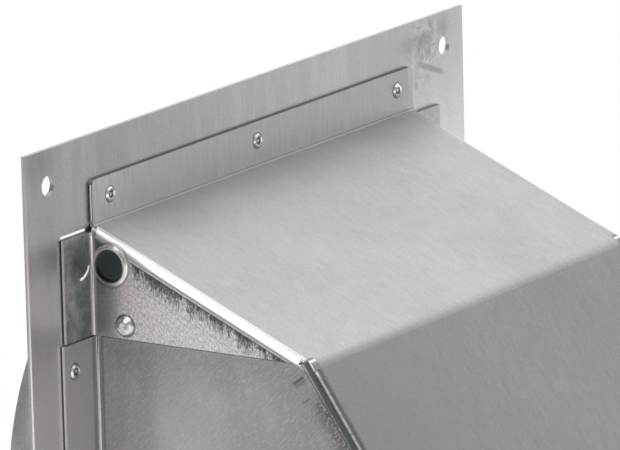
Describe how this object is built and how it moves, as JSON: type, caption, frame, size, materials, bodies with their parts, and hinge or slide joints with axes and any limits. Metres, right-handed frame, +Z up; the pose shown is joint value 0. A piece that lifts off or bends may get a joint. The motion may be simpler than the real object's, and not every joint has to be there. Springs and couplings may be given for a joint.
{
  "type": "dryer vent cap",
  "caption": "Hooded wall cap for a dryer duct: folded sheet hood clinched to a square wall plate, round duct collar and a hinged gravity damper.",
  "frame": {"origin": "centre of the duct in the plane of the wall, which is the wall plate's back face", "axes": "-Y out of the wall along the duct's axis, +Z up, +X to the right as seen from in front"},
  "size_m": [0.1524, 0.1411, 0.1524],
  "materials": {
    "plate_metal": "brushed",
    "hood_metal": "satin",
    "collar_metal": "bright",
    "flap_metal": "satin",
    "rod_steel": "zinc plated",
    "foam": "closed-cell foam",
    "black_nylon": "moulded"
  },
  "bodies": {
    "cap": {"wall_plate": "plate_metal", "hood": "hood_metal", "duct_collar": "collar_metal", "pivot_bushing_left": "black_nylon", "pivot_bushing_right": "black_nylon"},
    "damper": {"damper_flap": "flap_metal", "damper_rod": "rod_steel", "damper_seal": "foam"}
  },
  "joints": [
    {"name": "damper_hinge", "type": "hinge", "parent": "cap", "child": "damper", "pos_m": [0, -0.00597, 0.0518], "axis": [-1, 0, 0], "range_deg": [0, 44]}
  ]
}
